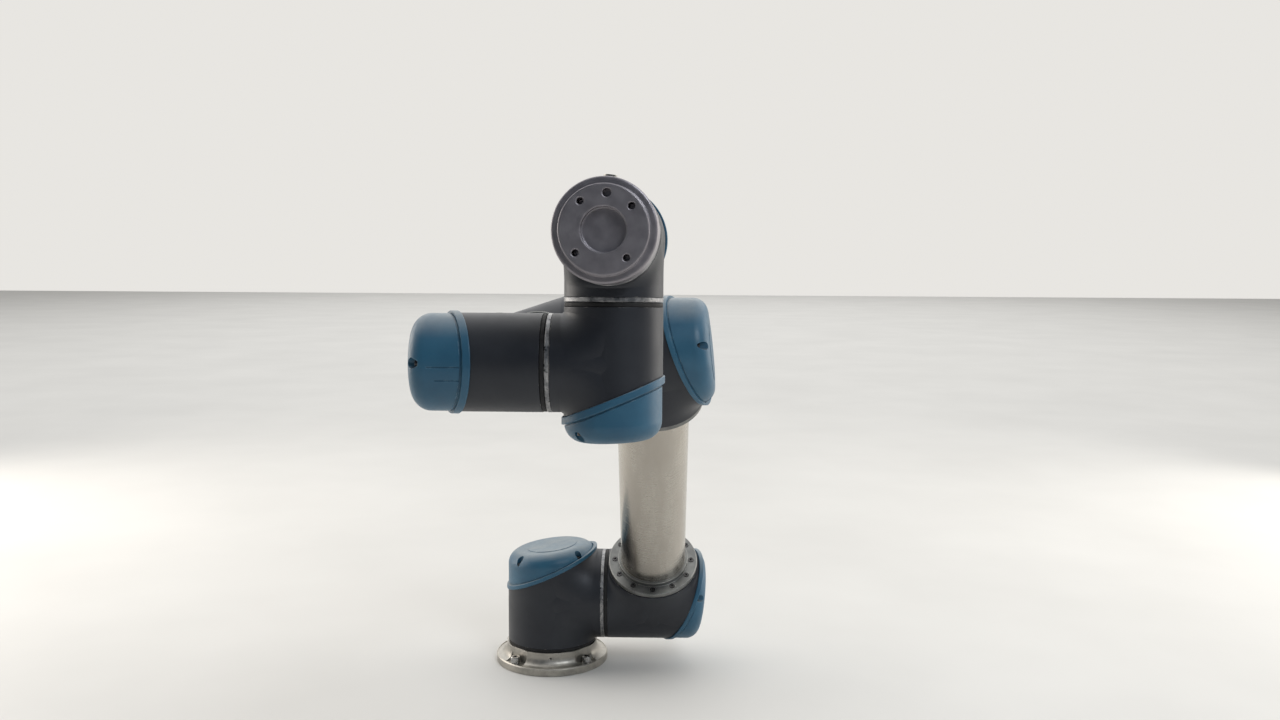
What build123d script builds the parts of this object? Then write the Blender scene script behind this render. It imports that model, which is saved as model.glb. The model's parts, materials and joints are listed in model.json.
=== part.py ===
from build123d import *
import os
from collections import namedtuple
from math import cos, radians, sin, sqrt, tan

# Six-axis desktop robot arm, in millimetres.
# Origin: centre of the base flange's bottom face. +Z up, the arm reaches towards -Y,
# and the shoulder joint stands on the +X side.

# Link lengths between joint axes
SHOULDER_HEIGHT = 89.2
SHOULDER_OFFSET = 135.9
UPPER_ARM_LENGTH = 425.0
ELBOW_OFFSET = 119.7
FOREARM_LENGTH = 392.2
WRIST_1_OFFSET = 93.0
WRIST_2_LENGTH = 94.7
TOOL_LENGTH = 82.3

# Stored pose, in degrees
UPPER_ARM_TILT = 34.5
FOREARM_RISE = 3.7
COLUMN_LEAN = 3.1
TOOL_YAW = 2.7
TOOL_ROLL = 5.2
BASE_TURN = 3.5

# Base flange, its flared collar and the pockets of its bolts
FLANGE_RADIUS = 74.5
FLANGE_RIM = 9.5
FLANGE_CHAMFER = 1.2
BAND_RADIUS = 72.7
BAND_TOP = 8.6
FLARE_RADIUS = 72.0
FLARE_TOP = 21.5
COLLAR_RADIUS = 60.5
COLLAR_TOP = 25.5
POCKET_FLOOR = 8.0
POCKET_WIDTH = 14.6
POCKET_LENGTH = 30.0
BASE_BOLT_CIRCLE = 132.0
BASE_HOLE_RADIUS = 4.25
BASE_HOLES = 4
SET_SCREW_HEIGHT = 18.7
SET_SCREW_RADIUS = 1.5
SET_SCREW_DEPTH = 5.0
CABLE_ROOM_RADIUS = 44.0

# Bottom cover of the base
COVER_RADIUS = 50.0
COVER_SEAT = 3.0
COVER_THICKNESS = 2.5
COVER_HOLE_REACH = 46.5
COVER_HOLE_RADIUS = 1.6
COVER_HOLES = 6

# Gland for the arm's lead, at the back of the collar
GLAND_HEIGHT = 17.5
GLAND_SEAT = 60.5
GLAND_SEAT_DEPTH = 10.4
GLAND_RADIUS = 7.0
GLAND_NUT = 5.0
GLAND_NOSE = 9.8
GLAND_NOSE_RADIUS = 5.4
GLAND_STEM = 15.0
GLAND_STEM_RADIUS = 5.5
LEAD_RADIUS = 3.0

# A joint module: a cylinder with a slanted, rounded cap on one end and a side port.
# Heights are along the module axis from the port's axis, towards the cap. Each cap line is a
# fine groove on the cap's long side: its place across, where it starts and where it stops.
Module = namedtuple(
    "Module",
    "radius wall bend output cap_middle cap_slope cap_end end_tilt corner lip_height lip_width "
    "seal ring notch_inset notch_radius notch_depth notch_angles screw_radius cap_lines",
)
LARGE = Module(
    radius=58.5, wall=8.0, bend=61.5, output=59.0, cap_middle=34.5, cap_slope=24.0, cap_end=64.5,
    end_tilt=7.5, corner=17.0, lip_height=1.8, lip_width=5.0, seal=4.7, ring=4.7, notch_inset=5.0,
    notch_radius=4.4, notch_depth=13.0, notch_angles=(45, 135, 225, 315), screw_radius=1.5, cap_lines=(),
)
SMALL = Module(
    radius=37.4, wall=7.0, bend=39.8, output=40.4, cap_middle=24.7, cap_slope=22.5, cap_end=58.5,
    end_tilt=2.5, corner=14.5, lip_height=1.6, lip_width=5.5, seal=3.7, ring=3.7, notch_inset=4.9,
    notch_radius=3.9, notch_depth=9.5, notch_angles=(45, 180, 315), screw_radius=1.25,
    cap_lines=((2.8, 16.0, 41.5), (12.6, 17.0, 35.5)),
)
SMALL_PORT = WRIST_1_OFFSET - SMALL.output - SMALL.seal - SMALL.ring
WRIST_2 = SMALL._replace(output=WRIST_2_LENGTH - SMALL_PORT - SMALL.seal - SMALL.ring)
PORT_STEP = 0.1
BLEND_STEP = 0.2
CAP_WALL = 3.0
CAP_REVEAL = 0.4
GROOVE_WIDTH = 1.5
GROOVE_DEPTH = 1.2
BADGE_HEIGHT = 0.5
TURNING_GAP = 0.3
FIT_GAP = 0.1
LIP_ROUND = 0.7
LINE_WIDTH = 0.7
LINE_DEPTH = 0.4
SCREW_BITE = 7.0
HOLE_SPARE = 1.0
SCREW_SEAT = 4.0
POST_WALL = 2.0

# Inside of a module, as shares of its radius
WIRE_BORE = 0.18
SHAFT = 0.23
ROTOR_INNER = 0.54
ROTOR_OUTER = 0.66
STATOR_INNER = 0.68
STATOR_SLOT = 0.78
GEAR_BORE = 0.26
GEAR_RING = 0.66
RING_BORE = 0.3
RING_BOSS = 0.68
PORT_BORE = 0.62

# Inside of a module, as shares of its output height
GEAR_LOW = -0.92
GEAR_HIGH = -0.55
MOTOR_LOW = -0.5
MOTOR_HIGH = -0.08
SHAFT_TOP = 0.25
BOSS_REACH = 0.07

# Tubes and their bolted rings
UPPER_TUBE_RADIUS = 41.4
UPPER_PORT = 63.3
UPPER_RING_RADIUS = 57.5
UPPER_SCREW_CIRCLE = 49.5
UPPER_SCREWS = 12
UPPER_SCREW_RADIUS = 2.0
FORE_TUBE_RADIUS = 31.0
FORE_LOWER_PORT = 61.0
FORE_LOWER_RING_RADIUS = 41.5
FORE_LOWER_SCREW_CIRCLE = 36.5
FORE_UPPER_RING_RADIUS = 37.9
FORE_UPPER_SCREW_CIRCLE = 34.6
FORE_SCREWS = 10
FORE_SCREW_RADIUS = 1.5
TUBE_WALL = 4.0
RING_THICKNESS = 6.6
COLLAR_HEIGHT = 6.0
COLLAR_WALL = 3.6

# Elbow cup: heights are along the elbow axis from the forearm tube's axis
CUP_TAPER_START = 20.8
CUP_END = -46.0
CUP_END_RADIUS = 36.3
CUP_CORNER = 10.0
CUP_WALL = 6.0

# Tool flange, a 50 mm robot interface
TOOL_RADIUS = 37.0
TOOL_STEP_RADIUS = 31.5
TOOL_STEP_HEIGHT = 6.0
TOOL_BOLT_CIRCLE = 50.0
TOOL_THREAD_RADIUS = 2.5
TOOL_THREAD_DEPTH = 12.0
TOOL_PIN_RADIUS = 3.0
TOOL_PIN_DEPTH = 8.0
TOOL_RECESS_RADIUS = 15.75
TOOL_RECESS_DEPTH = 6.2
CONNECTOR_RADIUS = 4.6


def direction(tilt):
    """Unit vector tilted from +Z towards -Y by an angle in degrees."""
    return Vector(0, -sin(radians(tilt)), cos(radians(tilt)))


# Directions and axis crossings of the chain at the stored pose
ACROSS = Vector(1, 0, 0)
arm_line = direction(UPPER_ARM_TILT)
fore_line = direction(90 - FOREARM_RISE)
column_line = direction(-COLUMN_LEAN)
level_tool_line = direction(90 - COLUMN_LEAN)
tool_line = level_tool_line * cos(radians(TOOL_YAW)) - ACROSS * sin(radians(TOOL_YAW))

base_point = Vector(0, 0, SHOULDER_HEIGHT)
shoulder_point = base_point + ACROSS * SHOULDER_OFFSET
elbow_point = shoulder_point + arm_line * UPPER_ARM_LENGTH
cup_point = elbow_point - ACROSS * ELBOW_OFFSET
wrist_1_point = cup_point + fore_line * FOREARM_LENGTH
wrist_2_point = wrist_1_point + ACROSS * WRIST_1_OFFSET
wrist_3_point = wrist_2_point + column_line * WRIST_2_LENGTH
tool_point = wrist_3_point + tool_line * TOOL_LENGTH

# Module frames: local z runs towards the cap, local x out of the side port
base_frame = Plane(origin=base_point, x_dir=ACROSS, z_dir=(0, 0, 1))
shoulder_frame = Plane(origin=shoulder_point, x_dir=arm_line, z_dir=ACROSS)
elbow_frame = Plane(origin=elbow_point, x_dir=-arm_line, z_dir=ACROSS)
wrist_1_frame = Plane(origin=wrist_1_point, x_dir=-fore_line, z_dir=-ACROSS)
wrist_2_frame = Plane(origin=wrist_2_point, x_dir=-ACROSS, z_dir=-column_line)
wrist_3_frame = Plane(origin=wrist_3_point, x_dir=-column_line, z_dir=-tool_line)
cup_frame = Plane(origin=cup_point, x_dir=fore_line, z_dir=ACROSS)
bolt_turn = radians(45 + BASE_TURN)
flange_frame = Plane(origin=(0, 0, 0), x_dir=(sin(bolt_turn), -cos(bolt_turn), 0), z_dir=(0, 0, 1))
pin_line = column_line * cos(radians(TOOL_ROLL)) + ACROSS * sin(radians(TOOL_ROLL))
tool_frame = Plane(origin=tool_point, x_dir=pin_line, z_dir=tool_line)


def finish(built, name):
    """Label a finished piece and write its STEP file."""
    built.part.label = name
    export_step(built.part, f"parts/{name}.step")


def port_plane(frame, distance=0.0):
    """Plane across a side port, at a distance from the module axis, facing out."""
    return Plane(origin=frame.origin + frame.x_dir * distance, x_dir=frame.y_dir, z_dir=frame.x_dir)


def profile_plane(frame):
    """Plane through the module axis: its x is the radius and its y the height."""
    return Plane(origin=frame.origin, x_dir=frame.x_dir, z_dir=-frame.y_dir)


def slanted_plane(frame, height, slope, lift=0.0):
    """Plane across the module axis at a height, rising towards the side port by a slope."""
    normal = frame.z_dir * cos(radians(slope)) - frame.x_dir * sin(radians(slope))
    return Plane(origin=frame.origin + frame.z_dir * height + normal * lift, x_dir=frame.y_dir, z_dir=normal)


def cap_plane(frame, size, lift=0.0):
    """Plane where the cap meets the housing."""
    return slanted_plane(frame, size.cap_middle, size.cap_slope, lift)


def end_plane(frame, size, lift=0.0):
    """Plane of the cap's end face."""
    return slanted_plane(frame, size.cap_end, size.end_tilt, lift)


def notch_points(size):
    """Places of the cap's screws around the module axis, as local points with their cap height."""
    reach = size.radius - size.notch_inset
    points = []
    for angle in size.notch_angles:
        x = reach * cos(radians(angle))
        y = reach * sin(radians(angle))
        seam = size.cap_middle + x * tan(radians(size.cap_slope))
        floor = size.cap_end + x * tan(radians(size.end_tilt)) - size.notch_depth
        floor = max(floor, seam + SCREW_SEAT)
        points.append((x, y, seam, floor))
    return points


def make_housing(frame, size, port_length, name):
    """Cast housing: motor cylinder, side port, and a bend that blends the two."""
    with BuildPart() as housing:
        with BuildSketch(frame.offset(-size.output - size.wall)):
            Circle(size.radius)
        extrude(amount=2 * size.output + size.corner)
        with BuildSketch(port_plane(frame)):
            Circle(size.radius - PORT_STEP)
        extrude(amount=port_length)
        for side in (1, -1):
            pivot = frame.origin + frame.x_dir * size.bend + frame.z_dir * (side * size.bend)
            with BuildSketch(port_plane(frame, size.bend)):
                Circle(size.radius - BLEND_STEP)
            revolve(axis=Axis(pivot, frame.y_dir), revolution_arc=side * 90)
        split(bisect_by=cap_plane(frame, size), keep=Keep.BOTTOM)
        split(bisect_by=frame.offset(-size.output), keep=Keep.TOP)
        # motor bore, from the seal to the cap
        with BuildSketch(frame.offset(-size.output)):
            Circle(size.radius - size.wall)
        extrude(amount=size.output + size.cap_end, mode=Mode.SUBTRACT)
        # cable bore through the side port
        with BuildSketch(port_plane(frame)):
            Circle(size.radius * PORT_BORE)
        extrude(amount=port_length, mode=Mode.SUBTRACT)
        # tapped holes for the cap's screws
        for x, y, seam, floor in notch_points(size):
            with BuildSketch(frame.offset(seam - SCREW_BITE - HOLE_SPARE)):
                with Locations((x, y)):
                    Circle(size.screw_radius + FIT_GAP)
            extrude(amount=2 * SCREW_BITE, mode=Mode.SUBTRACT)
    finish(housing, name)


def slanted_band(frame, size, outer, inner, low, high):
    """Ring around the module axis between two planes parallel to the cap's seam."""
    with BuildPart() as band:
        with BuildSketch(frame.offset(-size.radius)):
            Circle(outer)
            Circle(inner, mode=Mode.SUBTRACT)
        extrude(amount=size.radius + 2 * size.cap_end)
        split(bisect_by=cap_plane(frame, size, low), keep=Keep.TOP)
        split(bisect_by=cap_plane(frame, size, high), keep=Keep.BOTTOM)
    return band.part


def rounded_cup(frame, size, shrink):
    """Closed cap form with a tilted, rounded end, smaller all round by shrink."""
    with BuildPart() as cup:
        with BuildSketch(frame.offset(-size.radius)):
            Circle(size.radius - CAP_REVEAL - shrink)
        extrude(amount=size.radius + 2 * size.cap_end)
        split(bisect_by=end_plane(frame, size, -shrink), keep=Keep.BOTTOM)
        far_edge = cup.edges().filter_by(lambda edge: edge.geom_type != GeomType.LINE)
        far_edge = far_edge.sort_by(Axis(frame.origin, frame.z_dir))[-1]
        fillet(far_edge, size.corner - shrink)
        split(bisect_by=cap_plane(frame, size), keep=Keep.TOP)
    return cup.part


def make_cap(frame, size, name):
    """Plastic end cap: rounded shell, lip and groove along its seam, screw notches."""
    outer = rounded_cup(frame, size, 0.0)
    inner = rounded_cup(frame, size, CAP_WALL)
    lip = slanted_band(frame, size, size.radius + size.lip_height, size.radius - CAP_WALL, 0.0, size.lip_width)
    lip_edges = lip.edges().group_by(SortBy.LENGTH)[-1]
    lip = lip.fillet(LIP_ROUND, lip_edges)
    groove_top = size.lip_width + GROOVE_WIDTH
    groove = slanted_band(frame, size, size.radius + 5, size.radius - GROOVE_DEPTH, size.lip_width, groove_top)
    with BuildPart() as posts:
        for x, y, seam, floor in notch_points(size):
            with BuildSketch(frame.offset(-size.radius)):
                with Locations((x, y)):
                    Circle(size.notch_radius + POST_WALL)
            extrude(amount=size.radius + 2 * size.cap_end)
        add(outer, mode=Mode.INTERSECT)
    with BuildPart() as cap:
        add(outer)
        add(inner, mode=Mode.SUBTRACT)
        add(lip)
        add(posts.part)
        add(groove, mode=Mode.SUBTRACT)
        # plain round badge where the end face is flat
        with BuildSketch(end_plane(frame, size)):
            Circle((size.radius - size.corner) * 0.8)
        extrude(amount=BADGE_HEIGHT)
        for x, y, seam, floor in notch_points(size):
            with BuildSketch(frame.offset(floor)):
                with Locations((x, y)):
                    Circle(size.notch_radius)
            extrude(amount=size.cap_end, mode=Mode.SUBTRACT)
            with BuildSketch(frame.offset(seam - size.wall)):
                with Locations((x, y)):
                    Circle(size.screw_radius + FIT_GAP)
            extrude(amount=floor - seam + 2 * size.wall, mode=Mode.SUBTRACT)
        for across, start, stop in size.cap_lines:
            surface = sqrt((size.radius - CAP_REVEAL) ** 2 - across ** 2)
            with BuildSketch(frame.offset(start)):
                with Locations((-surface, across)):
                    Rectangle(2 * LINE_DEPTH, LINE_WIDTH)
            extrude(amount=stop - start, mode=Mode.SUBTRACT)
    finish(cap, name)


def cap_screws(frame, size):
    """Socket screws that hold one cap."""
    head = size.screw_radius * 1.85
    with BuildPart() as screws:
        for x, y, seam, floor in notch_points(size):
            with BuildSketch(frame.offset(floor)):
                with Locations((x, y)):
                    Circle(head)
            extrude(amount=2 * size.screw_radius)
            with BuildSketch(frame.offset(seam - SCREW_BITE)):
                with Locations((x, y)):
                    Circle(size.screw_radius)
            extrude(amount=floor - seam + SCREW_BITE)
            with BuildSketch(frame.offset(floor + size.screw_radius)):
                with Locations((x, y)):
                    RegularPolygon(size.screw_radius * 0.95, 6)
            extrude(amount=2 * size.screw_radius, mode=Mode.SUBTRACT)
    return screws.part


def make_seal(frame, size, name):
    """Rubber seal ring, fixed to the housing's output face."""
    with BuildPart() as seal:
        with BuildSketch(frame.offset(-size.output - size.seal + TURNING_GAP)):
            Circle(size.radius - 0.3)
            Circle(size.radius * 0.72, mode=Mode.SUBTRACT)
        extrude(amount=size.seal - TURNING_GAP)
        rim = seal.edges().filter_by(GeomType.CIRCLE).sort_by(SortBy.RADIUS)[-2:]
        fillet(rim, 0.8)
    finish(seal, name)


def make_output_ring(frame, size, name):
    """Metal output ring on the turning side, with the boss that reaches through the seal."""
    with BuildPart() as ring:
        with BuildSketch(frame.offset(-size.output - size.seal - size.ring)):
            Circle(size.radius)
            Circle(size.radius * RING_BORE, mode=Mode.SUBTRACT)
        extrude(amount=size.ring)
        rim = ring.edges().filter_by(GeomType.CIRCLE).sort_by(SortBy.RADIUS)[-2:]
        chamfer(rim, 0.5)
        with BuildSketch(frame.offset(-size.output - size.seal)):
            Circle(size.radius * RING_BOSS)
            Circle(size.radius * RING_BORE, mode=Mode.SUBTRACT)
        extrude(amount=size.seal + size.output * BOSS_REACH)
    finish(ring, name)


def make_drive(frame, size, names):
    """Inside of a module: winding ring, hollow rotor and strain-wave gear, around one axis."""
    bore = size.radius - size.wall - FIT_GAP
    motor_low = size.output * MOTOR_LOW
    motor_height = size.output * (MOTOR_HIGH - MOTOR_LOW)
    gear_low = size.output * GEAR_LOW + TURNING_GAP
    gear_height = size.output * (GEAR_HIGH - GEAR_LOW)
    with BuildPart() as stator:
        with BuildSketch(frame.offset(motor_low)):
            Circle(bore)
            Circle(size.radius * STATOR_INNER, mode=Mode.SUBTRACT)
            # winding slots, open to the inside
            slot = size.radius * (STATOR_SLOT - STATOR_INNER)
            with PolarLocations(size.radius * STATOR_INNER, 18):
                Rectangle(slot, slot / 3, mode=Mode.SUBTRACT)
        extrude(amount=motor_height)
    finish(stator, names + "_stator")
    with BuildPart() as rotor:
        with BuildSketch(frame.offset(motor_low)):
            Circle(size.radius * ROTOR_OUTER)
            Circle(size.radius * WIRE_BORE, mode=Mode.SUBTRACT)
        extrude(amount=motor_height)
        # room inside the magnet ring, over its web
        with BuildSketch(frame.offset(motor_low + motor_height / 4)):
            Circle(size.radius * ROTOR_INNER)
            Circle(size.radius * SHAFT, mode=Mode.SUBTRACT)
        extrude(amount=motor_height, mode=Mode.SUBTRACT)
        with BuildSketch(frame.offset(gear_low)):
            Circle(size.radius * SHAFT)
            Circle(size.radius * WIRE_BORE, mode=Mode.SUBTRACT)
        extrude(amount=size.output * SHAFT_TOP - gear_low)
    finish(rotor, names + "_rotor")
    with BuildPart() as gear:
        with BuildSketch(frame.offset(gear_low)):
            Circle(bore)
            Circle(size.radius * GEAR_BORE, mode=Mode.SUBTRACT)
        extrude(amount=gear_height)
        # room over the gear's output plate
        with BuildSketch(frame.offset(gear_low + gear_height * 0.4)):
            Circle(size.radius * GEAR_RING)
            Circle(size.radius * (GEAR_BORE + 0.1), mode=Mode.SUBTRACT)
        extrude(amount=gear_height, mode=Mode.SUBTRACT)
    finish(gear, names + "_gear")


def make_module(frame, size, port_length, names, ring=True):
    """All pieces of one joint module except its screws."""
    make_housing(frame, size, port_length, names + "_housing")
    make_cap(frame, size, names + "_cap")
    make_seal(frame, size, names + "_seal")
    make_drive(frame, size, names)
    if ring:
        make_output_ring(frame, size, names + "_ring")


def make_tube_ring(frame, distance, ring_radius, tube_radius, circle, count, screw, name):
    """Bolted flange ring at a tube's end, with a collar around the tube and sunk screws."""
    plane = port_plane(frame, distance)
    with BuildPart() as ring:
        with BuildSketch(plane):
            Circle(ring_radius)
            Circle(tube_radius + FIT_GAP, mode=Mode.SUBTRACT)
        extrude(amount=RING_THICKNESS)
        rim = ring.edges().filter_by(GeomType.CIRCLE).sort_by(SortBy.RADIUS)[-2:]
        chamfer(rim, 0.8)
        if ring_radius - circle > 2 * screw + 2:
            with BuildSketch(plane.offset(RING_THICKNESS)):
                Circle(tube_radius + COLLAR_WALL)
                Circle(tube_radius + FIT_GAP, mode=Mode.SUBTRACT)
            extrude(amount=COLLAR_HEIGHT)
        with BuildSketch(plane.offset(RING_THICKNESS - screw * 1.5)):
            with PolarLocations(circle, count):
                Circle(screw * 1.95)
        extrude(amount=screw * 3, mode=Mode.SUBTRACT)
        with BuildSketch(plane):
            with PolarLocations(circle, count):
                Circle(screw + FIT_GAP)
        extrude(amount=RING_THICKNESS, mode=Mode.SUBTRACT)
    finish(ring, name)


def ring_screws(frame, distance, circle, count, screw):
    """Socket screws of one tube ring."""
    seat = port_plane(frame, distance + RING_THICKNESS - screw * 1.5)
    with BuildPart() as screws:
        with BuildSketch(seat):
            with PolarLocations(circle, count):
                Circle(screw * 1.75)
        extrude(amount=screw * 1.9)
        with BuildSketch(seat):
            with PolarLocations(circle, count):
                Circle(screw)
        extrude(amount=-(RING_THICKNESS - screw * 1.5))
        with BuildSketch(seat.offset(screw * 0.9)):
            with PolarLocations(circle, count):
                RegularPolygon(screw * 0.9, 6)
        extrude(amount=screw * 2, mode=Mode.SUBTRACT)
    return screws.part


def make_group(parts, name):
    """One node for a link's identical screws, as separate solids."""
    with BuildPart() as group:
        for part in parts:
            add(part)
    finish(group, name)


def make_tube(frame, start, length, radius, name):
    """Straight tube between two port faces."""
    with BuildPart() as tube:
        with BuildSketch(port_plane(frame, start)):
            Circle(radius)
            Circle(radius - TUBE_WALL, mode=Mode.SUBTRACT)
        extrude(amount=length)
    finish(tube, name)


os.makedirs("parts", exist_ok=True)

# ---- Base: cast flange with a flared collar and four open bolt pockets, cover and gland
bolt_radius = BASE_BOLT_CIRCLE / 2
front_line = Vector(sin(radians(BASE_TURN)), -cos(radians(BASE_TURN)), 0)
back_plane = Plane(origin=(0, GLAND_SEAT, GLAND_HEIGHT), x_dir=ACROSS, z_dir=(0, 1, 0))
with BuildPart() as base_flange:
    with BuildSketch(flange_frame):
        Circle(FLANGE_RADIUS)
    extrude(amount=FLANGE_RIM)
    rim = base_flange.edges().filter_by(GeomType.CIRCLE).sort_by(Axis.Z)[-1]
    chamfer(rim, FLANGE_CHAMFER)
    # shallow band sunk inside the rim
    with BuildSketch(flange_frame.offset(BAND_TOP)):
        Circle(BAND_RADIUS)
    extrude(amount=FLANGE_RIM - BAND_TOP, mode=Mode.SUBTRACT)
    # collar, flared out to the band
    with BuildSketch(profile_plane(flange_frame)):
        with BuildLine():
            Polyline((0, BAND_TOP), (FLARE_RADIUS, BAND_TOP))
            Spline((FLARE_RADIUS, BAND_TOP), (COLLAR_RADIUS, FLARE_TOP), tangents=((-1, 0), (0, 1)))
            Polyline((COLLAR_RADIUS, FLARE_TOP), (COLLAR_RADIUS, COLLAR_TOP), (0, COLLAR_TOP), (0, BAND_TOP))
        make_face()
    revolve(axis=Axis(flange_frame.origin, flange_frame.z_dir))
    # pockets for the bolts, cut down through the flare
    with BuildSketch(flange_frame.offset(POCKET_FLOOR)):
        with PolarLocations(bolt_radius, BASE_HOLES):
            Rectangle(POCKET_WIDTH, POCKET_LENGTH)
        Circle(BAND_RADIUS, mode=Mode.INTERSECT)
    extrude(amount=COLLAR_TOP - POCKET_FLOOR, mode=Mode.SUBTRACT)
    # bolt holes, cable room under the motor and the seat of the bottom cover
    with BuildSketch(flange_frame):
        with PolarLocations(bolt_radius, BASE_HOLES):
            Circle(BASE_HOLE_RADIUS)
    extrude(amount=FLANGE_RIM, mode=Mode.SUBTRACT)
    with BuildSketch(flange_frame):
        Circle(CABLE_ROOM_RADIUS)
    extrude(amount=COLLAR_TOP, mode=Mode.SUBTRACT)
    with BuildSketch(flange_frame):
        Circle(COVER_RADIUS)
    extrude(amount=COVER_SEAT, mode=Mode.SUBTRACT)
    # small threaded hole in the front of the collar
    hole_start = front_line * (COLLAR_RADIUS - SET_SCREW_DEPTH) + Vector(0, 0, SET_SCREW_HEIGHT)
    with BuildSketch(Plane(origin=hole_start, x_dir=(0, 0, 1), z_dir=front_line)):
        Circle(SET_SCREW_RADIUS)
    extrude(amount=2 * SET_SCREW_DEPTH, mode=Mode.SUBTRACT)
    # hole for the lead at the back, with a flat seat for its gland
    with BuildSketch(back_plane):
        Circle(GLAND_RADIUS + 6 * FIT_GAP)
    extrude(amount=GLAND_SEAT_DEPTH, mode=Mode.SUBTRACT)
    with BuildSketch(back_plane):
        Circle(GLAND_STEM_RADIUS + FIT_GAP)
    extrude(amount=-2 * GLAND_STEM, mode=Mode.SUBTRACT)
finish(base_flange, "base_flange")

with BuildPart() as base_cover:
    with BuildSketch(Plane.XY):
        Circle(COVER_RADIUS - FIT_GAP)
        with PolarLocations(COVER_HOLE_REACH, COVER_HOLES):
            Circle(COVER_HOLE_RADIUS, mode=Mode.SUBTRACT)
    extrude(amount=COVER_THICKNESS)
finish(base_cover, "base_cover")

with BuildPart() as base_gland:
    with BuildSketch(back_plane):
        Circle(GLAND_STEM_RADIUS)
    extrude(amount=-GLAND_STEM)
    with BuildSketch(back_plane):
        RegularPolygon(GLAND_RADIUS, 6)
    extrude(amount=GLAND_NUT)
    with BuildSketch(back_plane.offset(GLAND_NUT)):
        Circle(GLAND_NOSE_RADIUS)
    extrude(amount=GLAND_NOSE - GLAND_NUT)
    with BuildSketch(back_plane.offset(GLAND_NOSE)):
        Circle(LEAD_RADIUS)
    extrude(amount=-(GLAND_NOSE + GLAND_STEM), mode=Mode.SUBTRACT)
finish(base_gland, "base_gland")

# ---- Six joint modules
link_port = SHOULDER_OFFSET - LARGE.output - LARGE.seal - LARGE.ring
make_module(base_frame, LARGE, link_port, "base_joint", ring=False)
make_module(shoulder_frame, LARGE, UPPER_PORT, "shoulder_joint")
make_module(elbow_frame, LARGE, UPPER_PORT, "elbow_joint")
make_module(wrist_1_frame, SMALL, SMALL_PORT, "wrist_1")
make_module(wrist_2_frame, WRIST_2, SMALL_PORT, "wrist_2")
make_module(wrist_3_frame, SMALL, SMALL_PORT, "wrist_3")

# Cap screws, one group for each link
for link, modules in (
    ("shoulder_link", ((base_frame, LARGE),)),
    ("upper_arm", ((shoulder_frame, LARGE), (elbow_frame, LARGE))),
    ("forearm", ((wrist_1_frame, SMALL),)),
    ("wrist_1_link", ((wrist_2_frame, WRIST_2),)),
    ("wrist_2_link", ((wrist_3_frame, SMALL),)),
):
    make_group([cap_screws(frame, size) for frame, size in modules], link + "_cap_screws")

# ---- Upper arm: tube with a bolted ring on each end
make_tube(shoulder_frame, UPPER_PORT, UPPER_ARM_LENGTH - 2 * UPPER_PORT, UPPER_TUBE_RADIUS, "upper_arm_tube")
for frame, name in ((shoulder_frame, "upper_arm_lower_ring"), (elbow_frame, "upper_arm_upper_ring")):
    make_tube_ring(frame, UPPER_PORT, UPPER_RING_RADIUS, UPPER_TUBE_RADIUS, UPPER_SCREW_CIRCLE,
                   UPPER_SCREWS, UPPER_SCREW_RADIUS, name)
upper_screws = [ring_screws(frame, UPPER_PORT, UPPER_SCREW_CIRCLE, UPPER_SCREWS, UPPER_SCREW_RADIUS)
                for frame in (shoulder_frame, elbow_frame)]
make_group(upper_screws, "upper_arm_ring_screws")

# ---- Forearm: tapered elbow cup, tube and its two rings
cup_open = ELBOW_OFFSET - LARGE.output - LARGE.seal - LARGE.ring
with BuildPart() as elbow_cup:
    with BuildSketch(profile_plane(cup_frame)):
        Polygon((0, cup_open), (LARGE.radius, cup_open), (LARGE.radius, CUP_TAPER_START),
                (CUP_END_RADIUS, CUP_END), (0, CUP_END), align=None)
    revolve(axis=Axis(cup_frame.origin, cup_frame.z_dir))
    rounds = elbow_cup.edges().filter_by(GeomType.CIRCLE).sort_by(Axis(cup_frame.origin, cup_frame.z_dir))
    fillet(rounds[0], CUP_CORNER)
    with BuildSketch(port_plane(cup_frame)):
        Circle(FORE_LOWER_RING_RADIUS)
    extrude(amount=FORE_LOWER_PORT)
    # inner room, open to the elbow joint and to the tube
    with BuildSketch(profile_plane(cup_frame)):
        Polygon((0, cup_open), (LARGE.radius - LARGE.wall, cup_open),
                (LARGE.radius - LARGE.wall, CUP_TAPER_START),
                (CUP_END_RADIUS - CUP_WALL, CUP_END + CUP_WALL), (0, CUP_END + CUP_WALL), align=None)
    revolve(axis=Axis(cup_frame.origin, cup_frame.z_dir), mode=Mode.SUBTRACT)
    with BuildSketch(port_plane(cup_frame)):
        Circle(FORE_TUBE_RADIUS - TUBE_WALL)
    extrude(amount=FORE_LOWER_PORT, mode=Mode.SUBTRACT)
finish(elbow_cup, "elbow_cup")

make_tube(cup_frame, FORE_LOWER_PORT, FOREARM_LENGTH - FORE_LOWER_PORT - SMALL_PORT, FORE_TUBE_RADIUS,
          "forearm_tube")
make_tube_ring(cup_frame, FORE_LOWER_PORT, FORE_LOWER_RING_RADIUS, FORE_TUBE_RADIUS, FORE_LOWER_SCREW_CIRCLE,
               FORE_SCREWS, FORE_SCREW_RADIUS, "forearm_lower_ring")
make_tube_ring(wrist_1_frame, SMALL_PORT, FORE_UPPER_RING_RADIUS, FORE_TUBE_RADIUS,
               FORE_UPPER_SCREW_CIRCLE, FORE_SCREWS, FORE_SCREW_RADIUS, "forearm_upper_ring")
fore_screws = [
    ring_screws(cup_frame, FORE_LOWER_PORT, FORE_LOWER_SCREW_CIRCLE, FORE_SCREWS, FORE_SCREW_RADIUS),
    ring_screws(wrist_1_frame, SMALL_PORT, FORE_UPPER_SCREW_CIRCLE, FORE_SCREWS, FORE_SCREW_RADIUS),
]
make_group(fore_screws, "forearm_ring_screws")

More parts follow.
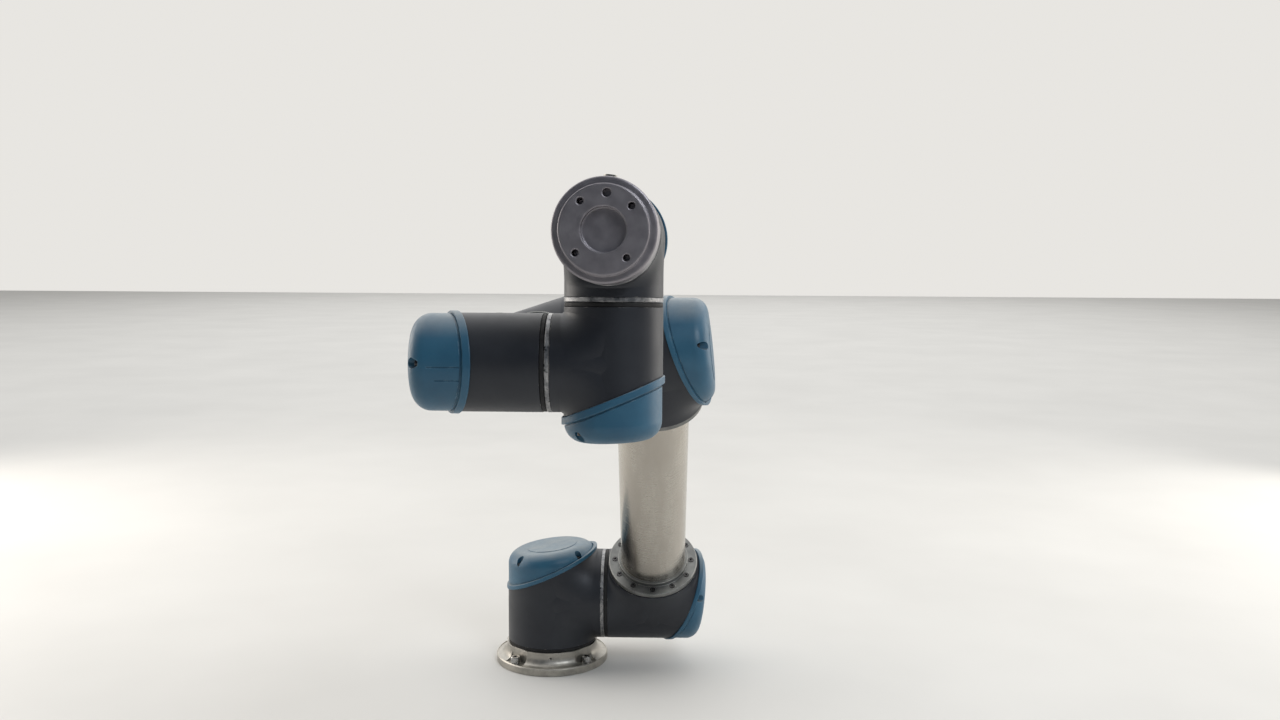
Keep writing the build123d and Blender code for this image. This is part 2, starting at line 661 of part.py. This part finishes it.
# ---- Tool flange and its connector
flange_thickness = TOOL_LENGTH - SMALL.output - SMALL.seal - SMALL.ring
connector_depth = TOOL_STEP_HEIGHT + 8.0
connector_plane = Plane(origin=tool_frame.origin - tool_frame.z_dir * connector_depth,
                        x_dir=tool_frame.z_dir, z_dir=tool_frame.x_dir)
with BuildPart() as tool_flange:
    with BuildSketch(tool_frame.offset(-flange_thickness)):
        Circle(TOOL_RADIUS)
    extrude(amount=flange_thickness - TOOL_STEP_HEIGHT)
    rim = tool_flange.edges().filter_by(GeomType.CIRCLE).sort_by(Axis(tool_frame.origin, tool_frame.z_dir))[-1]
    fillet(rim, 1.6)
    with BuildSketch(tool_frame):
        Circle(TOOL_STEP_RADIUS)
    extrude(amount=-TOOL_STEP_HEIGHT)
    rim = tool_flange.edges().filter_by(GeomType.CIRCLE).sort_by(Axis(tool_frame.origin, tool_frame.z_dir))[-1]
    chamfer(rim, 0.5)
    with BuildSketch(tool_frame):
        Circle(TOOL_RECESS_RADIUS)
    extrude(amount=-TOOL_RECESS_DEPTH, mode=Mode.SUBTRACT)
    with BuildSketch(tool_frame):
        with PolarLocations(TOOL_BOLT_CIRCLE / 2, 4, start_angle=45):
            Circle(TOOL_THREAD_RADIUS)
    extrude(amount=-TOOL_THREAD_DEPTH, mode=Mode.SUBTRACT)
    with BuildSketch(tool_frame):
        with Locations((TOOL_BOLT_CIRCLE / 2, 0)):
            Circle(TOOL_PIN_RADIUS)
    extrude(amount=-TOOL_PIN_DEPTH, mode=Mode.SUBTRACT)
    with BuildSketch(tool_frame.offset(-flange_thickness)):
        Circle(TOOL_RECESS_RADIUS)
    extrude(amount=flange_thickness / 2, mode=Mode.SUBTRACT)
    # pocket for the connector in the rim
    with BuildSketch(connector_plane.offset(TOOL_RADIUS - 7.0)):
        Circle(CONNECTOR_RADIUS + FIT_GAP)
    extrude(amount=20.0, mode=Mode.SUBTRACT)
finish(tool_flange, "tool_flange")

with BuildPart() as tool_connector:
    with BuildSketch(connector_plane.offset(TOOL_RADIUS - 7.0)):
        Circle(CONNECTOR_RADIUS)
    extrude(amount=8.4)
    with BuildSketch(connector_plane.offset(TOOL_RADIUS - 4.0)):
        Circle(CONNECTOR_RADIUS - 1.3)
    extrude(amount=20.0, mode=Mode.SUBTRACT)
    with BuildSketch(connector_plane.offset(TOOL_RADIUS - 4.5)):
        with PolarLocations(CONNECTOR_RADIUS - 2.8, 7):
            Circle(0.45)
        Circle(0.45)
    extrude(amount=4.0)
finish(tool_connector, "tool_connector")
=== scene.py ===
import json
from math import cos, pi, radians, sin

import bmesh
import bpy
from mathutils import Matrix, Vector


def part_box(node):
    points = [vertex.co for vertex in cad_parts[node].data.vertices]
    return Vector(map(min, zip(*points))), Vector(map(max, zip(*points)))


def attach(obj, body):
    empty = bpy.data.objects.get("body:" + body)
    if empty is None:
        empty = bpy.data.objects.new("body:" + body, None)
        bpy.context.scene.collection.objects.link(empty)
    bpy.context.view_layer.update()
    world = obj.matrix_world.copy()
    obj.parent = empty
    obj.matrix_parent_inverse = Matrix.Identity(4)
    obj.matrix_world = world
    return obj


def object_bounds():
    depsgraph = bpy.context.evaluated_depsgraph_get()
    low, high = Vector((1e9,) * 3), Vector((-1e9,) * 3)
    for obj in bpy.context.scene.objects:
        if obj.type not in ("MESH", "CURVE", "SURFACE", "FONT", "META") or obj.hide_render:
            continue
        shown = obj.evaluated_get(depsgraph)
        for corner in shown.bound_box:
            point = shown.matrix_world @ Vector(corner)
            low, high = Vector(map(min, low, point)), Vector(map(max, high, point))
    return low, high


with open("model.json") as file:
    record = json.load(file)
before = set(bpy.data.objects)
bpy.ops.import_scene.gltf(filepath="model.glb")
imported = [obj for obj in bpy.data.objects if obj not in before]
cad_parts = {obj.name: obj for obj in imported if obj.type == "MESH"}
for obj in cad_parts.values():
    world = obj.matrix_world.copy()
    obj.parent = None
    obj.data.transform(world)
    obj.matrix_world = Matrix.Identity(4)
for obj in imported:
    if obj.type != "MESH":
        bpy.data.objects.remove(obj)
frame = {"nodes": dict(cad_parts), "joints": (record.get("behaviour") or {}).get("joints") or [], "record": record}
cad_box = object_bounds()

# Metres, in the model's own frame: +Z up, the arm reaches towards -Y.
JOINTS = {joint["name"]: joint for joint in frame["joints"]}
NODES = frame["nodes"]
BASE_BOLTS = next(mount for mount in frame["record"]["mounts"] if mount["name"] == "base_bolts")

# Socket screws and washers that hold the base flange down.
BOLT_PATTERN_TURN = radians(45 + 3.5) - pi / 2
POCKET_FLOOR = 0.008
SEAT_GAP = 0.0001
WASHER_RADIUS = 0.0064
WASHER_THICKNESS = 0.0012
WASHER_CHAMFER = 0.0002
WASHER_SIDES = 40
HEAD_RADIUS = 0.0062
HEAD_HEIGHT = 0.008
HEAD_SIDES = 48
HEAD_CHAMFER_SHARE = 0.1
KNURL_SHARE = 0.985
SOCKET_RADIUS = 0.0033
SOCKET_RIM_SHARE = 1.25
SOCKET_DEPTH_SHARE = 0.55

FLOOR_HALF_WIDTH = 12.0
FLOOR_GAP = 0.0005
BEVEL_SAMPLES = 6

CAMERA_PLACE = (0.146, -1.475, 0.551)
CAMERA_YAW, CAMERA_PITCH, CAMERA_ROLL = radians(-1.14), radians(5.67), radians(0.33)
LENS, SENSOR_WIDTH, CLIP_END = 31.6, 36.0, 100.0


# ---------------------------------------------------------------- shader helpers

def srgb(red, green, blue):
    """Linear colour of an 8-bit screen colour, with alpha 1."""
    def linear(value):
        value = value / 255
        return value / 12.92 if value <= 0.04045 else ((value + 0.055) / 1.055) ** 2.4
    return (linear(red), linear(green), linear(blue), 1.0)


class Surface:
    """A principled material and short calls that add its nodes."""

    def __init__(self, name, metallic=0.0, specular=0.5):
        self.material = bpy.data.materials.new(name)
        self.material.use_nodes = True
        self.tree = self.material.node_tree
        self.shader = self.tree.nodes["Principled BSDF"]
        self.shader.inputs["Metallic"].default_value = metallic
        self.shader.inputs["Specular IOR Level"].default_value = specular
        self.place = self.tree.nodes.new("ShaderNodeTexCoord").outputs["Object"]

    def node(self, kind, **settings):
        made = self.tree.nodes.new(kind)
        for key, value in settings.items():
            setattr(made, key, value)
        return made

    def feed(self, socket, value):
        """Link an output socket, or set a plain value."""
        if isinstance(value, bpy.types.NodeSocket):
            self.tree.links.new(value, socket)
        else:
            socket.default_value = value

    def along(self, direction, stretch):
        """Coordinates stretched along a direction, for grain that runs that way."""
        mapping = self.node("ShaderNodeMapping", vector_type="POINT")
        turn = direction.rotation_difference(Vector((0, 0, 1))).to_euler()
        mapping.inputs["Rotation"].default_value = turn
        squash = self.node("ShaderNodeMapping", vector_type="POINT")
        squash.inputs["Scale"].default_value = stretch
        self.feed(mapping.inputs["Vector"], self.place)
        self.feed(squash.inputs["Vector"], mapping.outputs["Vector"])
        return squash.outputs["Vector"]

    def noise(self, size, detail=3.0, roughness=0.55, place=None):
        """Noise of about 0 to 1, whose lumps are about size metres across."""
        made = self.node("ShaderNodeTexNoise")
        self.feed(made.inputs["Vector"], place or self.place)
        made.inputs["Scale"].default_value = 1.0 / size
        made.inputs["Detail"].default_value = detail
        made.inputs["Roughness"].default_value = roughness
        return made.outputs["Fac"]

    def span(self, value, low, high, start=0.0, stop=1.0):
        """Map a value from low..high to start..stop, clamped."""
        made = self.node("ShaderNodeMapRange", clamp=True)
        self.feed(made.inputs["Value"], value)
        made.inputs["From Min"].default_value = low
        made.inputs["From Max"].default_value = high
        made.inputs["To Min"].default_value = start
        made.inputs["To Max"].default_value = stop
        return made.outputs["Result"]

    def calc(self, operation, first, second):
        made = self.node("ShaderNodeMath", operation=operation)
        self.feed(made.inputs[0], first)
        self.feed(made.inputs[1], second)
        return made.outputs["Value"]

    def blend(self, factor, first, second):
        """Mix two colours."""
        made = self.node("ShaderNodeMix", data_type="RGBA")
        self.feed(made.inputs["Factor"], factor)
        self.feed(made.inputs[6], first)
        self.feed(made.inputs[7], second)
        return made.outputs[2]

    def edges(self, reach):
        """About 1 on sharp edges and corners, 0 on smooth faces; reach in metres."""
        bevel = self.node("ShaderNodeBevel", samples=BEVEL_SAMPLES)
        bevel.inputs["Radius"].default_value = reach
        plain = self.node("ShaderNodeNewGeometry")
        dot = self.node("ShaderNodeVectorMath", operation="DOT_PRODUCT")
        self.feed(dot.inputs[0], bevel.outputs["Normal"])
        self.feed(dot.inputs[1], plain.outputs["Normal"])
        return self.span(dot.outputs["Value"], 0.995, 0.86)

    def facing_up(self):
        """About 1 on faces that look up, where dust settles and where a painted sheen of reflected light is laid.
        """
        plain = self.node("ShaderNodeNewGeometry")
        split = self.node("ShaderNodeSeparateXYZ")
        self.feed(split.inputs["Vector"], plain.outputs["Normal"])
        return self.span(split.outputs["Z"], 0.55, 0.95)

    def bump(self, height, distance, strength=1.0, under=None, soften=0.0):
        """Set the shader's normal from a height; soften rounds sharp edges by that radius."""
        made = self.node("ShaderNodeBump")
        made.inputs["Strength"].default_value = strength
        made.inputs["Distance"].default_value = distance
        self.feed(made.inputs["Height"], height)
        if soften:
            bevel = self.node("ShaderNodeBevel", samples=BEVEL_SAMPLES)
            bevel.inputs["Radius"].default_value = soften
            self.feed(made.inputs["Normal"], bevel.outputs["Normal"])
        if under is not None:
            self.feed(made.inputs["Normal"], under)
        return made.outputs["Normal"]

    def set(self, colour=None, roughness=None, normal=None):
        """Connect the finished colour, roughness and normal, and return the material."""
        for name, value in (("Base Color", colour), ("Roughness", roughness), ("Normal", normal)):
            if value is not None:
                self.feed(self.shader.inputs[name], value)
        return self.material


# ---------------------------------------------------------------- materials

def housing_coat():
    """Satin metallic coat over a casting, rubbed bare here and there on its edges; its dark base colour is painted
    shade, as dark as the faces of a grey coat lying in shade.
    """
    surface = Surface("housing_coat", metallic=0.25, specular=0.5)
    cloud = surface.noise(0.05, detail=4.0)
    grain = surface.noise(0.0007, detail=2.0)
    # Painted shade: this dark base colour is the tone of the grey coat's shaded faces, not the coat's own grey.
    colour = surface.blend(surface.span(cloud, 0.35, 0.65), srgb(36, 39, 46), srgb(45, 48, 54))
    patches = surface.span(surface.noise(0.006), 0.56, 0.66)
    chips = surface.calc("MULTIPLY", surface.edges(0.0009), patches)
    colour = surface.blend(chips, colour, srgb(150, 148, 142))
    smears = surface.span(surface.noise(0.018, detail=5.0), 0.45, 0.75, 0.0, 0.06)
    roughness = surface.calc("ADD", surface.span(cloud, 0.3, 0.7, 0.4, 0.48), smears)
    fine = surface.bump(grain, 0.00004, 0.5, soften=0.0006)
    normal = surface.bump(surface.noise(0.009, detail=1.0), 0.00005, 0.35, under=fine)
    return surface.set(colour, roughness, normal)


def cap_blue():
    """Satin moulded blue plastic with a fine moulded texture, light scuffs, and on faces that look up a little
    dust together with a painted reflection.
    """
    surface = Surface("cap_blue", specular=0.45)
    cloud = surface.noise(0.03, detail=4.0)
    colour = surface.blend(surface.span(cloud, 0.3, 0.7), srgb(41, 86, 112), srgb(49, 97, 123))
    # Faces that look up are greyed: partly real dust, partly a painted reflection of the light from above.
    settled_dust_and_sheen = surface.span(surface.noise(0.02), 0.3, 0.8, 0.3, 0.62)
    dust_and_sheen = surface.calc("MULTIPLY", surface.facing_up(), settled_dust_and_sheen)
    colour = surface.blend(dust_and_sheen, colour, srgb(146, 150, 148))
    rubbed = surface.span(surface.noise(0.007), 0.5, 0.65, 0.0, 0.7)
    worn = surface.calc("MULTIPLY", surface.edges(0.0012), rubbed)
    colour = surface.blend(worn, colour, srgb(112, 150, 172))
    scuff = surface.noise(0.004, detail=6.0, roughness=0.7)
    roughness = surface.span(scuff, 0.3, 0.75, 0.34, 0.5)
    grain = surface.noise(0.0006, detail=2.0)
    return surface.set(colour, roughness, surface.bump(grain, 0.00005, 0.6, soften=0.0005))


def seal_rubber():
    surface = Surface("seal_rubber", specular=0.35)
    colour = surface.blend(surface.span(surface.noise(0.008), 0.35, 0.7), srgb(20, 20, 22), srgb(34, 34, 35))
    roughness = surface.span(surface.noise(0.003), 0.3, 0.7, 0.55, 0.75)
    return surface.set(colour, roughness, surface.bump(surface.noise(0.0008), 0.00006, 0.6))


def ring_metal():
    """Light turned ring at a joint's seam, with rubbed and chipped patches."""
    surface = Surface("ring_metal", metallic=0.85, specular=0.5)
    patches = surface.noise(0.009, detail=5.0, roughness=0.65)
    colour = surface.blend(surface.span(patches, 0.42, 0.6), srgb(112, 113, 116), srgb(168, 168, 168))
    chips = surface.span(surface.noise(0.0035, detail=4.0), 0.6, 0.68)
    colour = surface.blend(chips, colour, srgb(62, 64, 68))
    roughness = surface.span(patches, 0.35, 0.65, 0.3, 0.46)
    return surface.set(colour, roughness, surface.bump(surface.noise(0.0016), 0.00006, 0.5))


def turned_tube(name, direction):
    """Fine lathe-turned aluminium tube: grain runs round it, faint handling marks along it."""
    surface = Surface(name, metallic=1.0, specular=0.5)
    lines = surface.noise(0.0006, detail=2.0, place=surface.along(direction, (0.02, 0.02, 1.0)))
    smears = surface.noise(0.02, detail=4.0, place=surface.along(direction, (1.0, 1.0, 0.25)))
    colour = surface.blend(surface.span(smears, 0.35, 0.7), srgb(178, 172, 163), srgb(190, 185, 176))
    polish = surface.span(smears, 0.3, 0.75, 0.2, 0.27)
    roughness = surface.calc("ADD", polish, surface.span(lines, 0.3, 0.7, 0.0, 0.05))
    return surface.set(colour, roughness, surface.bump(lines, 0.00002, 0.5))


def base_casting():
    """Bead-blasted cast aluminium with brighter machined edges and patches of grime."""
    surface = Surface("base_casting", metallic=0.9, specular=0.5)
    cloud = surface.noise(0.02, detail=5.0)
    colour = surface.blend(surface.span(cloud, 0.35, 0.65), srgb(160, 157, 150), srgb(184, 180, 172))
    grime = surface.span(surface.noise(0.011, detail=6.0, roughness=0.7), 0.5, 0.75, 0.0, 0.45)
    colour = surface.blend(grime, colour, srgb(96, 92, 86))
    colour = surface.blend(surface.calc("MULTIPLY", surface.edges(0.0008), 0.6), colour, srgb(222, 218, 210))
    roughness = surface.span(cloud, 0.3, 0.7, 0.34, 0.48)
    pits = surface.noise(0.0007, detail=3.0)
    return surface.set(colour, roughness, surface.bump(pits, 0.00008, 0.7, soften=0.0004))


def flange_ring_metal():
    """Grey anodised rings at the tubes' ends."""
    surface = Surface("flange_ring_metal", metallic=0.85, specular=0.5)
    cloud = surface.noise(0.012, detail=4.0)
    colour = surface.blend(surface.span(cloud, 0.35, 0.65), srgb(112, 113, 112), srgb(132, 133, 131))
    colour = surface.blend(surface.calc("MULTIPLY", surface.edges(0.0006), 0.8), colour, srgb(215, 214, 208))
    roughness = surface.span(cloud, 0.3, 0.7, 0.32, 0.44)
    return surface.set(colour, roughness, surface.bump(surface.noise(0.0009), 0.00005, 0.5, soften=0.0004))


def tool_anodised():
    """Grey hard-anodised tool flange, a little polished on its edges."""
    surface = Surface("tool_anodised", metallic=0.8, specular=0.5)
    cloud = surface.noise(0.01, detail=5.0)
    colour = surface.blend(surface.span(cloud, 0.35, 0.65), srgb(142, 138, 143), srgb(154, 150, 155))
    colour = surface.blend(surface.calc("MULTIPLY", surface.edges(0.0005), 0.2), colour, srgb(190, 190, 196))
    marks = surface.span(surface.noise(0.0035, detail=6.0, roughness=0.75), 0.55, 0.8, 0.0, 0.1)
    roughness = surface.calc("ADD", surface.span(cloud, 0.3, 0.7, 0.36, 0.44), marks)
    return surface.set(colour, roughness, surface.bump(surface.noise(0.0006), 0.00004, 0.5, soften=0.0018))


def plain_metal(name, low, high, roughness):
    """Machined metal with two-tone mottling, for screws and inner pieces."""
    surface = Surface(name, metallic=1.0, specular=0.5)
    mottle = surface.noise(0.004, detail=4.0)
    colour = surface.blend(surface.span(mottle, 0.35, 0.65), low, high)
    colour = surface.blend(surface.calc("MULTIPLY", surface.edges(0.0003), 0.5), colour, srgb(225, 225, 225))
    rough = surface.span(mottle, 0.3, 0.7, roughness - 0.06, roughness + 0.08)
    return surface.set(colour, rough, surface.bump(surface.noise(0.0012), 0.00003, 0.5))


def gland_plastic():
    surface = Surface("gland_plastic", specular=0.4)
    colour = surface.blend(surface.span(surface.noise(0.006), 0.35, 0.65), srgb(26, 26, 28), srgb(40, 40, 42))
    roughness = surface.span(surface.noise(0.002), 0.3, 0.7, 0.42, 0.58)
    return surface.set(colour, roughness, surface.bump(surface.noise(0.0007), 0.00005, 0.5, soften=0.0004))


def link_direction(start, end):
    """Direction from one joint's axis to the next, square to the turning axis."""
    way = Vector(JOINTS[end]["pos_m"]) - Vector(JOINTS[start]["pos_m"])
    axis = Vector(JOINTS[start]["axis"])
    return (way - axis * way.dot(axis)).normalized()


def dress_cad_nodes():
    """Give every CAD node its material, by the record's material slot."""
    finishes = {
        "base_casting": base_casting(),
        "housing_coat": housing_coat(),
        "cap_blue": cap_blue(),
        "seal_rubber": seal_rubber(),
        "ring_metal": ring_metal(),
        "flange_ring_metal": flange_ring_metal(),
        "tool_anodised": tool_anodised(),
        "gland_plastic": gland_plastic(),
        "screw_steel": plain_metal("screw_steel", srgb(58, 58, 60), srgb(92, 91, 90), 0.34),
        "connector_nickel": plain_metal(
            "connector_nickel", srgb(120, 120, 116), srgb(150, 149, 144), 0.32
        ),
        "cover_aluminium": plain_metal("cover_aluminium", srgb(170, 170, 168), srgb(190, 189, 186), 0.4),
        "winding_copper": plain_metal("winding_copper", srgb(140, 82, 46), srgb(176, 108, 62), 0.38),
        "rotor_steel": plain_metal("rotor_steel", srgb(120, 121, 124), srgb(146, 146, 148), 0.3),
        "gear_steel": plain_metal("gear_steel", srgb(150, 150, 150), srgb(176, 175, 172), 0.28),
    }
    upper = turned_tube("upper_tube_metal", link_direction("shoulder_turn", "elbow_turn"))
    fore = turned_tube("fore_tube_metal", link_direction("elbow_turn", "wrist_1_turn"))
    tubes = {"upper_arm_tube": upper, "forearm_tube": fore}
    for part in frame["record"]["subparts"]:
        node = NODES[part["node"]]
        material = tubes.get(part["node"]) or finishes[part["material_slot"]]
        node.data.materials.clear()
        node.data.materials.append(material)


# ---------------------------------------------------------------- extra pieces

def mesh_piece(name, body, material, build):
    """A new mesh that rides on a body: build(bm) fills it."""
    mesh = bpy.data.meshes.new(name)
    bm = bmesh.new()
    build(bm)
    bm.normal_update()
    bm.to_mesh(mesh)
    bm.free()
    piece = bpy.data.objects.new(name, mesh)
    bpy.context.scene.collection.objects.link(piece)
    mesh.materials.append(material)
    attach(piece, body)


def ring_of_points(bm, place, sides, level, radius_at):
    """A closed ring of vertices at one height, with a radius for each step and angle."""
    ring = []
    for step in range(sides):
        turn = 2 * pi * step / sides
        reach = radius_at(step, turn)
        ring.append(bm.verts.new(place @ Vector((reach * cos(turn), reach * sin(turn), level))))
    return ring


def skin(bm, rings):
    """Join each ring to the next with quads, and close both ends."""
    for lower, upper in zip(rings, rings[1:]):
        for step in range(len(lower)):
            after = (step + 1) % len(lower)
            bm.faces.new((lower[step], lower[after], upper[after], upper[step]))
    bm.faces.new(list(reversed(rings[0])))
    bm.faces.new(rings[-1])


def washer(bm, place):
    """Flat round washer with a chamfered upper edge."""
    outline = (
        (WASHER_RADIUS, 0),
        (WASHER_RADIUS, WASHER_THICKNESS - WASHER_CHAMFER),
        (WASHER_RADIUS - WASHER_CHAMFER, WASHER_THICKNESS),
    )
    rings = []
    for radius, level in outline:
        rings.append(ring_of_points(bm, place, WASHER_SIDES, level, lambda step, turn: radius))
    skin(bm, rings)


def socket_screw(bm, place):
    """Socket-head screw: knurled round head with a chamfered rim and a hexagon socket."""
    rim = HEAD_RADIUS * HEAD_CHAMFER_SHARE
    outline = (
        (HEAD_RADIUS, 0.0),
        (HEAD_RADIUS, HEAD_HEIGHT - rim),
        (HEAD_RADIUS - rim, HEAD_HEIGHT),
        (SOCKET_RADIUS * SOCKET_RIM_SHARE, HEAD_HEIGHT),
    )
    rings = []
    for radius, level in outline:
        def round_reach(step, turn):
            knurled = step % 2 and radius == HEAD_RADIUS
            return radius * (KNURL_SHARE if knurled else 1.0)
        rings.append(ring_of_points(bm, place, HEAD_SIDES, level, round_reach))

    def hexagon_reach(step, turn):
        return SOCKET_RADIUS * cos(pi / 6) / cos((turn % (pi / 3)) - pi / 6)

    for level in (HEAD_HEIGHT, HEAD_HEIGHT - HEAD_HEIGHT * SOCKET_DEPTH_SHARE):
        rings.append(ring_of_points(bm, place, HEAD_SIDES, level, hexagon_reach))
    skin(bm, rings)


def base_screws(material):
    """The socket screws and washers that hold the base down, in the flange's pockets."""
    low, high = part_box("base_flange")
    reach = BASE_BOLTS["dims"]["pcd_mm"] / 2000
    count = BASE_BOLTS["dims"]["count"]

    def build(bm):
        for step in range(count):
            turn = BOLT_PATTERN_TURN + step * 2 * pi / count
            floor_level = low.z + POCKET_FLOOR + SEAT_GAP
            seat = Vector((reach * cos(turn), reach * sin(turn), floor_level))
            place = Matrix.Translation(seat) @ Matrix.Rotation(turn * 2, 4, "Z")
            washer(bm, place)
            socket_screw(bm, place @ Matrix.Translation((0, 0, WASHER_THICKNESS + SEAT_GAP)))

    mesh_piece("base_screws", "base", material, build)


# ---------------------------------------------------------------- floor, light, camera

def add_floor():
    """Plain pale floor, just below the arm's lowest point."""
    mesh = bpy.data.meshes.new("floor")
    bm = bmesh.new()
    bmesh.ops.create_grid(bm, x_segments=1, y_segments=1, size=FLOOR_HALF_WIDTH)
    bm.to_mesh(mesh)
    bm.free()
    floor = bpy.data.objects.new("floor", mesh)
    floor.location.z = cad_box[0][2] - FLOOR_GAP
    bpy.context.scene.collection.objects.link(floor)
    surface = Surface("floor_paint", specular=0.2)
    tone = surface.blend(surface.span(surface.noise(0.4), 0.3, 0.7), srgb(206, 205, 202), srgb(212, 211, 208))
    mesh.materials.append(surface.set(tone, 0.7))


def area_light(name, at, towards, size, power, colour=(1, 1, 1)):
    """Rectangular light that the camera does not see."""
    lamp = bpy.data.lights.new(name, "AREA")
    lamp.shape = "RECTANGLE"
    lamp.size, lamp.size_y = size
    lamp.energy = power
    lamp.color = colour
    light = bpy.data.objects.new(name, lamp)
    light.location = at
    light.visible_camera = False
    light.rotation_euler = (Vector(towards) - Vector(at)).to_track_quat("-Z", "Y").to_euler()
    bpy.context.scene.collection.objects.link(light)


def add_light():
    """Soft light from both sides, above and behind, a small fill, and a dimmer world in front."""
    area_light("left_softbox", (-1.7, 0.35, 0.7), (0.0, 0.0, 0.1), (1.6, 1.2), 17, (1.0, 0.93, 0.85))
    area_light("right_softbox", (1.9, 0.5, 0.7), (0.2, -0.1, 0.2), (1.6, 1.2), 13, (1.0, 0.95, 0.88))
    area_light("ceiling", (0.1, 6.0, 3.4), (0.1, 6.0, 0.0), (10.0, 13.0), 360)
    area_light("front_fill", (1.3, -2.0, 2.0), (0.1, -0.3, 0.4), (0.9, 0.9), 24, (0.9, 0.95, 1.0))
    world = bpy.data.worlds.new("studio")
    bpy.context.scene.world = world
    world.use_nodes = True
    tree = world.node_tree
    backdrop = tree.nodes["Background"]
    split = tree.nodes.new("ShaderNodeSeparateXYZ")
    tree.links.new(tree.nodes.new("ShaderNodeTexCoord").outputs["Generated"], split.inputs["Vector"])
    depth = tree.nodes.new("ShaderNodeMapRange")
    depth.inputs["From Min"].default_value = -0.7
    depth.inputs["From Max"].default_value = 0.6
    tree.links.new(split.outputs["Y"], depth.inputs["Value"])
    tone = tree.nodes.new("ShaderNodeMix")
    tone.data_type = "RGBA"
    tone.inputs[6].default_value = srgb(52, 60, 70)
    tone.inputs[7].default_value = srgb(214, 212, 208)
    tree.links.new(depth.outputs["Result"], tone.inputs["Factor"])
    tree.links.new(tone.outputs[2], backdrop.inputs["Color"])
    backdrop.inputs["Strength"].default_value = 1.2


def add_camera():
    """Camera in front of the arm, a little right of its base, turned slightly left and down."""
    place = Vector(CAMERA_PLACE)
    yaw, pitch, roll = CAMERA_YAW, CAMERA_PITCH, CAMERA_ROLL
    ahead = Vector((sin(yaw) * cos(pitch), cos(yaw) * cos(pitch), -sin(pitch)))
    right = ahead.cross(Vector((0, 0, 1))).normalized()
    up = right.cross(ahead)
    right_rolled = right * cos(roll) + up * sin(roll)
    up_rolled = up * cos(roll) - right * sin(roll)
    lens = bpy.data.cameras.new("camera")
    lens.sensor_width = SENSOR_WIDTH
    lens.lens = LENS
    lens.clip_end = CLIP_END
    camera = bpy.data.objects.new("camera", lens)
    camera.matrix_world = Matrix((
        (right_rolled.x, up_rolled.x, -ahead.x, place.x),
        (right_rolled.y, up_rolled.y, -ahead.y, place.y),
        (right_rolled.z, up_rolled.z, -ahead.z, place.z),
        (0, 0, 0, 1),
    ))
    bpy.context.scene.collection.objects.link(camera)
    bpy.context.scene.camera = camera


bpy.context.scene.view_settings.view_transform = "Standard"
dress_cad_nodes()
base_screws(plain_metal("bolt_steel", srgb(150, 150, 150), srgb(196, 195, 192), 0.26))
add_floor()
add_light()
add_camera()
